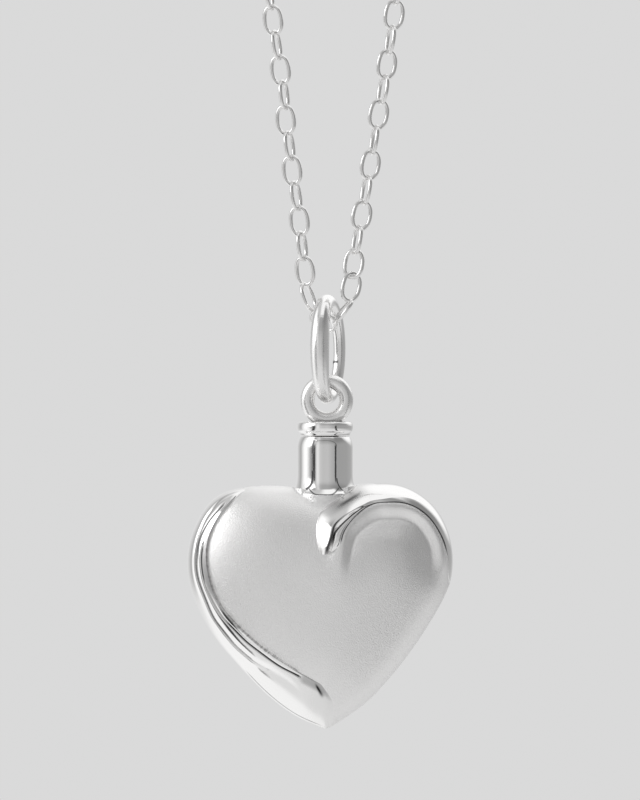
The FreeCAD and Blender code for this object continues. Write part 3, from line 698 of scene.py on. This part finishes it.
# painted dark reflections round the neck's front panel at the top edge and the two sides, and painted shade along the
# curve at the foot where it meets the heart
NECK_PAINTED_LINES = [
    # half width mm, strength, points x, y
    (0.035, 0.55, [(314.0, 444.0), (316.5, 441.3), (321.0, 440.6), (327.0, 440.5), (332.5, 441.5), (335.6, 443.6), (336.7, 447.0)]),
    (0.110, 0.85, [(314.6, 439.6), (313.6, 442.5), (313.0, 447.0), (312.6, 454.0)]),
    (0.230, 0.34, [(312.2, 437.0), (311.6, 443.0), (311.2, 449.0), (311.0, 462.0), (310.8, 474.0), (310.2, 480.0), (308.6, 484.4), (305.6, 487.6), (303.0, 489.0)]),
    (0.115, 0.95, [(312.7, 470.0), (312.6, 478.0), (312.0, 482.0), (310.6, 485.2), (308.4, 487.6), (305.2, 489.9)]),
    (0.045, 0.90, [(336.9, 478.0), (337.1, 480.5), (337.7, 483.0), (339.6, 487.0), (343.4, 490.8)]),
    (0.050, 0.92, [(308.6, 487.6), (310.6, 490.8), (313.4, 493.4), (316.6, 494.7), (324.0, 495.0), (331.6, 494.6), (335.0, 492.6), (337.6, 489.6), (339.6, 487.0)]),
]
_close = 1 + verts[:, 1] / 350.0
_px = (verts[:, 0] / _close, (verts[:, 2] - EYE) / _close)
_neck_painted_dark = np.zeros(len(verts))
for _half, _strong, _points in NECK_PAINTED_LINES:
    _line = eased(_points, 60)
    _d, _place = line_distance(_px[0], _px[1], _line)
    _ends = smooth_step(0.0, 0.05, _place) * (1 - smooth_step(0.94, 1.0, _place))
    _neck_painted_dark = np.maximum(_neck_painted_dark, _strong * _ends * np.exp(-np.abs(_d / _half) ** (2 if _half > 0.2 else 4)))
_neck_painted_dark *= (verts[:, 1] < -0.4) & (np.hypot(verts[:, 0], verts[:, 1]) > 1.8)
neck_tube = mesh_piece("neck_tube", verts, faces, SILVER_NECK, "urn", {"satin": np.zeros(len(verts)), "seam_and_painted_shade": _neck_painted_dark})

# screw cap: collar and stem, eye, thread
cap_profile = rounded([(0.0, -1.62), (1.90, -1.63), (2.06, -1.72), (2.115, -1.95), (2.115, -2.12), (2.07, -2.33), (1.97, -2.43), (1.91, -2.54),
                       (1.895, -2.69), (1.02, -2.70), (1.02, -5.70), (0.88, -5.85), (0.0, -5.85)], 0.07)
collar = turned(cap_profile, 160, EYE)
a = np.linspace(0, 2 * math.pi, 128, endpoint=False)
EYE_R, EYE_WIRE = 1.46, 0.53
out = np.stack([np.sin(a), 0 * a, np.cos(a)], -1)
depth_axis = np.tile([0.0, 1.0, 0.0], (128, 1))
eye_ring = ring_tube(out * EYE_R + [0.14, 0, EYE], out, depth_axis, np.full(128, EYE_WIRE), np.full(128, EYE_WIRE), 48)
pitch, low, tall = 0.5, -5.55, 2.25
n = 240
w = np.linspace(0, 2 * math.pi * tall / pitch, n)
z = low + pitch * w / (2 * math.pi)
spin = np.stack([np.sin(w), -np.cos(w), 0 * w], -1)
fade = np.minimum(1, np.minimum(np.arange(n), np.arange(n)[::-1]) / 18.0)
tooth = [(1.0, -0.16), (1.0 + 0.19, -0.03), (1.0 + 0.19, 0.03), (1.0, 0.16)]
strip = np.stack([spin * (1.0 + (r - 1.0) * fade)[:, None] + np.array([0, 0, 1.0]) * (z + dz + EYE)[:, None] for r, dz in tooth], 1)
thread = (strip.reshape(-1, 3), grid_faces(n, 4))
verts, faces = joined([collar, eye_ring, thread])
rel = verts - [0, 0, EYE]
eye_dist = np.hypot(rel[:, 0], rel[:, 2])
on_eye = (rel[:, 2] > -1.63)
satin = np.where(on_eye, 0.75, 0.0)
# painted shade in the crevice where the eye meets the collar's top
seam_and_painted_shade = 0.85 * np.exp(-((rel[:, 2] + 1.63) / 0.05) ** 2) * (np.abs(rel[:, 0]) < 1.25) * (np.abs(rel[:, 1]) < 0.7) * on_eye
cap = mesh_piece("screw_closure", verts, faces, SILVER_CAP, "cap", {"satin": satin, "seam_and_painted_shade": seam_and_painted_shade})
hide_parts("screw_cap")

# ------------------------------------------------------------------ bail ring
BAIL_WIRE = [
    # angle_deg from the bottom towards the front, wire_radius_mm
    (0, 0.52), (30, 0.55), (60, 0.65), (90, 0.72), (120, 0.70), (150, 0.64),
    (180, 0.58), (210, 0.53), (240, 0.49), (270, 0.46), (300, 0.47), (330, 0.50),
]
turn = math.radians(20)
bail_across = np.array([math.sin(turn), math.cos(turn), 0.0])
bail_normal = np.array([math.cos(turn), -math.sin(turn), 0.0])
count = 220
a = np.linspace(0, 2 * math.pi, count, endpoint=False)
wire = cubic(np.radians([r[0] for r in BAIL_WIRE]), [r[1] for r in BAIL_WIRE], a, 2 * math.pi)
middle = EYE + 0.20 + 3.60
centres = -np.sin(a)[:, None] * 2.2 * bail_across + np.array([0, 0, 1.0]) * (middle - 3.60 * np.cos(a))[:, None]
centres[:, 0] += 0.19 + 0.16 * np.sin(a) ** 2
tangent = -np.cos(a)[:, None] * 2.2 * bail_across + np.array([0, 0, 1.0]) * (3.60 * np.sin(a))[:, None]
tangent /= np.linalg.norm(tangent, axis=1, keepdims=True)
side = np.tile(bail_normal, (count, 1))
up = np.cross(tangent, side)
verts, faces = ring_tube(centres, side, up, wire, wire, 48)
seam = np.exp(-((np.repeat(np.degrees(a), 48) - 286) / 1.9) ** 4)
half = (verts - np.repeat(centres, 48, 0)) @ bail_normal
bail = mesh_piece("bail_oval", verts, faces, SILVER_BAIL, "bail", {
    "satin": np.repeat(0.85 * smooth_step(4, 30, np.degrees(a)) * (1 - smooth_step(82, 122, np.degrees(a))), 48),
    "seam_and_painted_shade": 0.9 * seam * (half < 0.1)})
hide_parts("bail_ring")

# ------------------------------------------------------------------ chain links
TILT = math.radians(8.4)
FOLD_R, LOOP = 1.68, 457.0
CROWN = (LOOP + 2 * FOLD_R / math.tan(TILT) - FOLD_R * (math.pi - 2 * TILT)) / (2 / math.tan(TILT) + math.pi + 2 * TILT)
# Lowest links of each strand: middle in drawing units, depth in millimetres
# (towards the viewer is negative), and turn of the link about its own length.
LOW_LINKS = [
    # x, y, depth_mm, turn_deg
    (284.0, 95, 0.0, 68), (285.6, 120, 0.0, -20), (289.4, 146, 0.0, 66), (292.0, 170.5, 0.0, -22), (296.0, 196, 0.0, 64),
    (299.3, 221, 0.0, -18), (302.0, 246, 0.05, 66), (305.0, 271, 0.15, -24), (308.5, 297, 0.42, 58),
    (323.5, 321, 0.05, -28),
    (342.8, 312, -0.62, 78), (351.0, 287, -0.42, -20), (353.6, 264, -0.2, 14), (357.0, 240, -0.1, 70), (361.6, 215.5, 0.0, -16),
    (366.0, 190, 0.0, 68), (370.3, 165, 0.0, -20), (374.2, 140, 0.0, 76), (378.5, 114.5, 0.0, -18), (383.0, 89.5, 0.0, 66),
]
LINK_LONG, LINK_WIDE, LINK_WIRE, PITCH = 2.42, 1.66, 0.160, 1.9


def loop_side(sign, start):
    """Middle line of one strand above its drawn links, up to the clasp."""
    turn_at = math.pi / 2 + TILT
    top = np.array([CROWN * math.sin(turn_at), -CROWN + CROWN * math.cos(turn_at)])
    low = np.array([FOLD_R * math.sin(turn_at), FOLD + FOLD_R * math.cos(turn_at)])
    straight = low + (top - low) * np.linspace(0, 1, 200)[:, None]
    bend = np.linspace(turn_at, 4.84 / CROWN, 160)[1:]
    arc = np.stack([CROWN * np.sin(bend), -CROWN + CROWN * np.cos(bend)], -1)
    line = np.vstack([straight, arc]) * [sign, 1]
    keep = line[:, 1] > start[1]
    line = line[keep]
    shift = start[0] - np.interp(start[1], straight[:, 1], straight[:, 0] * sign)
    line[:, 0] += shift * (1 - smooth_step(start[1], start[1] + 150, line[:, 1]))
    line = np.vstack([start[None, :], line[1:]])
    s = along(line)
    steps = max(1, round(s[-1] / PITCH))
    places = np.linspace(0, s[-1], steps + 1)[1:]
    return np.stack([np.interp(places, s, line[:, 0]), np.interp(places, s, line[:, 1])], -1)


low_x, low_z = drawn([(r[0], r[1]) for r in LOW_LINKS]).T
low_pts = np.stack([low_x, [r[2] for r in LOW_LINKS], low_z + EYE], -1)
low_turn = np.array([r[3] for r in LOW_LINKS], float)
left_more = loop_side(-1, low_pts[0, [0, 2]])
right_more = loop_side(1, low_pts[-1, [0, 2]])
rng = np.random.default_rng(7)
left_pts = np.stack([left_more[:, 0], 0 * left_more[:, 0], left_more[:, 1]], -1)[::-1]
right_pts = np.stack([right_more[:, 0], 0 * right_more[:, 0], right_more[:, 1]], -1)
jitter = lambda k: rng.uniform(-7, 7, k)
left_turn = np.where(np.arange(1, len(left_pts) + 1) % 2 == 1, -20.0, 68.0)[::-1] + jitter(len(left_pts))
right_turn = np.where(np.arange(1, len(right_pts) + 1) % 2 == 1, -18.0, 70.0) + jitter(len(right_pts))
link_at = np.vstack([left_pts, low_pts, right_pts])
link_turn = np.radians(np.concatenate([left_turn, low_turn, right_turn]))
flow = np.gradient(link_at, axis=0)
flow /= np.linalg.norm(flow, axis=1, keepdims=True)

around, section = 28, 10
w = np.linspace(0, 2 * math.pi, around, endpoint=False)
half_long, half_wide = LINK_LONG / 2 - LINK_WIRE, LINK_WIDE / 2 - LINK_WIRE
bow = 2.3
px = half_long * np.sign(np.cos(w)) * np.abs(np.cos(w)) ** (2 / bow)
py = half_wide * np.sign(np.sin(w)) * np.abs(np.sin(w)) ** (2 / bow)
loop = np.stack([px, py], -1)
step = np.roll(loop, -1, 0) - np.roll(loop, 1, 0)
step /= np.linalg.norm(step, axis=1, keepdims=True)
outward = np.stack([step[:, 1], -step[:, 0]], -1)
c = np.linspace(0, 2 * math.pi, section, endpoint=False)
one = np.zeros((around, section, 3))
one[..., :2] = loop[:, None, :] + outward[:, None, :] * (LINK_WIRE * np.cos(c))[None, :, None]
one[..., 2] = LINK_WIRE * np.sin(c)
one = one.reshape(-1, 3)
one_faces = grid_faces(around, section, True, True)
verts, faces = [], []
for k, (at, t, f) in enumerate(zip(link_at, link_turn, flow)):
    flat = np.cross(f, [0.0, 1.0, 0.0])
    flat /= np.linalg.norm(flat)
    rise = np.cross(flat, f)
    wide_axis = flat * math.cos(t) + rise * math.sin(t)
    thick_axis = np.cross(f, wide_axis)
    verts.append(at + one[:, :1] * f + one[:, 1:2] * wide_axis + one[:, 2:3] * thick_axis)
    faces.append(one_faces + k * len(one))
chain = mesh_piece("chain_links", np.vstack(verts), np.vstack(faces), SILVER_CHAIN, "necklace", {
    "satin": np.zeros(len(one) * len(link_at)), "seam_and_painted_shade": np.zeros(len(one) * len(link_at))})
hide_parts("chain")

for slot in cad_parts["clasp"].material_slots:
    slot.material = SILVER_CLASP

# ------------------------------------------------------------------ floor, light, camera
stage_material = bpy.data.materials.new("pale_floor")
stage_material.use_nodes = True
shader = stage_material.node_tree.nodes["Principled BSDF"]
shader.inputs["Roughness"].default_value = 0.9
shader.inputs["Base Color"].default_value = (0.80, 0.80, 0.80, 1)
mottle = node(stage_material.node_tree, "ShaderNodeTexNoise", Scale=3.0, Detail=2.0)
tint = stage_material.node_tree.nodes.new("ShaderNodeMapRange")
tint.inputs["To Min"].default_value = 0.86
tint.inputs["To Max"].default_value = 0.93
stage_material.node_tree.links.new(mottle.outputs[0], tint.inputs["Value"])
stage_material.node_tree.links.new(tint.outputs[0], shader.inputs["Base Color"])
floor_mesh = bpy.data.meshes.new("floor")
floor_mesh.from_pydata([(-4, -4, -1.1), (4, -4, -1.1), (4, 4, -1.1), (-4, 4, -1.1)], [], [(0, 1, 2, 3)])
floor = bpy.data.objects.new("floor", floor_mesh)
floor_mesh.materials.append(stage_material)
bpy.context.scene.collection.objects.link(floor)
floor.visible_glossy = False

world = bpy.data.worlds.new("studio")
bpy.context.scene.world = world
world.use_nodes = True
tree = world.node_tree
tree.nodes.clear()
split = tree.nodes.new("ShaderNodeSeparateXYZ")
tree.links.new(tree.nodes.new("ShaderNodeTexCoord").outputs["Generated"], split.inputs[0])
azimuth = math_node(tree, "ARCTAN2", split.outputs[0], math_node(tree, "MULTIPLY", split.outputs[1], -1.0))
around_u = math_node(tree, "ADD", math_node(tree, "DIVIDE", azimuth, 2 * math.pi), 0.5)
elevation = math_node(tree, "ARCSINE", split.outputs[2])

# brightness of the studio walls by bearing, 0 towards the viewer and negative to the left
WALLS = [
    # bearing_deg, brightness
    (-180, 0.80), (-152, 0.70), (-134, 0.54), (-119, 0.40), (-108, 0.72), (-96, 1.05), (-82, 1.14), (-71, 0.88), (-61, 0.48), (-52, 0.34),
    (-40, 0.60), (-30, 0.86), (-20, 0.60), (-8, 0.54), (12, 0.55), (36, 0.42), (53, 0.35),
    (100, 0.36), (135, 0.42), (180, 0.70),
]
ramp = tree.nodes.new("ShaderNodeValToRGB")
stops = ramp.color_ramp.elements
for i, (bearing, bright) in enumerate(WALLS):
    at = (bearing + 180) / 360
    stop = stops[i] if i < 2 else stops.new(at)
    stop.position = at
    stop.color = (bright / 2, bright / 2, bright / 2, 1)
tree.links.new(around_u, ramp.inputs[0])
walls = math_node(tree, "MULTIPLY", ramp.outputs[0], 2.0)


def between(tree, low, high, value):
    made = tree.nodes.new("ShaderNodeMapRange")
    made.interpolation_type = "SMOOTHSTEP"
    made.inputs["From Min"].default_value = low
    made.inputs["From Max"].default_value = high
    tree.links.new(value, made.inputs["Value"])
    return made.outputs[0]


def blend(tree, share, a, b):
    """a where share is 0 and b where it is 1."""
    gap = math_node(tree, "SUBTRACT", b, a)
    return math_node(tree, "ADD", a, math_node(tree, "MULTIPLY", share, gap))


# pitch: 0 towards the viewer, 90 overhead, 180 behind, for the fittings over the object
pitch_up = math_node(tree, "ARCTAN2", split.outputs[2], math_node(tree, "MULTIPLY", split.outputs[1], -1.0))
shade = between(tree, math.radians(10), math.radians(34), elevation)
shade = math_node(tree, "MULTIPLY", shade, between(tree, math.radians(-50), math.radians(-15), azimuth))
dim = math_node(tree, "SUBTRACT", 1.0, math_node(tree, "MULTIPLY", shade, 0.30))
light = math_node(tree, "MULTIPLY", walls, dim)
ceiling = between(tree, math.radians(46), math.radians(60), elevation)
light = blend(tree, ceiling, light, 0.58)
# bright band over the front and the brighter tent behind it
band_low = between(tree, math.radians(48), math.radians(58), pitch_up)
middle = math_node(tree, "MULTIPLY", between(tree, 0.60, 0.40, split.outputs[0]), between(tree, -0.24, 0.04, split.outputs[0]))
overhead = math_node(tree, "MULTIPLY", band_low, middle)
overhead = math_node(tree, "MULTIPLY", overhead, between(tree, math.radians(150), math.radians(125), pitch_up))
light = blend(tree, overhead, light, 0.98)
# brighter upper right behind the object
facing = tree.nodes.new("ShaderNodeVectorMath")
facing.operation = "DOT_PRODUCT"
tree.links.new(tree.nodes.new("ShaderNodeTexCoord").outputs["Generated"], facing.inputs[0])
facing.inputs[1].default_value = (0.44, 0.57, 0.69)
behind = between(tree, 0.72, 0.90, facing.outputs["Value"])
light = blend(tree, behind, light, 1.06)
left_box = tree.nodes.new("ShaderNodeVectorMath")
left_box.operation = "DOT_PRODUCT"
tree.links.new(tree.nodes.new("ShaderNodeTexCoord").outputs["Generated"], left_box.inputs[0])
left_box.inputs[1].default_value = (-0.850, -0.32, 0.418)
light = blend(tree, between(tree, math.cos(math.radians(22)), math.cos(math.radians(8)), left_box.outputs["Value"]), light, 2.9)
ground = between(tree, math.radians(-5), math.radians(-29), elevation)
low_left = between(tree, math.radians(-35), math.radians(-75), azimuth)
floor_light = math_node(tree, "ADD", 0.76, math_node(tree, "MULTIPLY", low_left, 0.20))
light = blend(tree, ground, light, floor_light)
# dark frame of the tent's opening: two posts
front_side = between(tree, math.radians(88), math.radians(84), pitch_up)
front_side = math_node(tree, "MULTIPLY", front_side, between(tree, math.radians(-70), math.radians(-60), pitch_up))
for middle_x, half_wide, soft, top in ((-0.722, 0.034, 0.080, 34), (0.700, 0.034, 0.026, 24)):
    off = math_node(tree, "ABSOLUTE", math_node(tree, "SUBTRACT", split.outputs[0], middle_x))
    post = math_node(tree, "MULTIPLY", between(tree, half_wide + soft, half_wide, off), front_side)
    post = math_node(tree, "MULTIPLY", post, between(tree, math.radians(top + 8), math.radians(top - 16), pitch_up))
    light = blend(tree, post, light, 0.05)
seen = tree.nodes.new("ShaderNodeLightPath").outputs["Is Camera Ray"]
light = blend(tree, seen, light, 0.70)
backdrop = tree.nodes.new("ShaderNodeBackground")
tree.links.new(light, backdrop.inputs["Color"])
backdrop.inputs["Strength"].default_value = 1.0
world_out = tree.nodes.new("ShaderNodeOutputWorld")
tree.links.new(backdrop.outputs[0], world_out.inputs[0])


def soft_light(name, at, size, power, target):
    data = bpy.data.lights.new(name, "AREA")
    data.shape = "RECTANGLE"
    data.size, data.size_y = size
    data.energy = power
    lamp = bpy.data.objects.new(name, data)
    lamp.location = at
    aim = np.array(target) - np.array(at)
    from mathutils import Vector
    lamp.rotation_mode = "QUATERNION"
    lamp.rotation_quaternion = Vector(aim).to_track_quat("-Z", "Y")
    lamp.visible_camera = False
    bpy.context.scene.collection.objects.link(lamp)


target = (0, 0, EYE * MM)
soft_light("key_left", (-0.55, -0.35, EYE * MM + 0.30), (0.35, 0.35), 0.25, target)

camera_data = bpy.data.cameras.new("camera")
camera_data.sensor_width = 36.0
camera_data.lens = 36.0 * 350.0 / (800 * UNIT)
camera_data.clip_start, camera_data.clip_end = 0.01, 50.0
camera = bpy.data.objects.new("camera", camera_data)
camera.location = (-5 * UNIT * MM, -0.350, EYE * MM)
camera.rotation_euler = (math.pi / 2, 0, 0)
bpy.context.scene.collection.objects.link(camera)
bpy.context.scene.camera = camera
bpy.context.scene.view_settings.view_transform = "Standard"
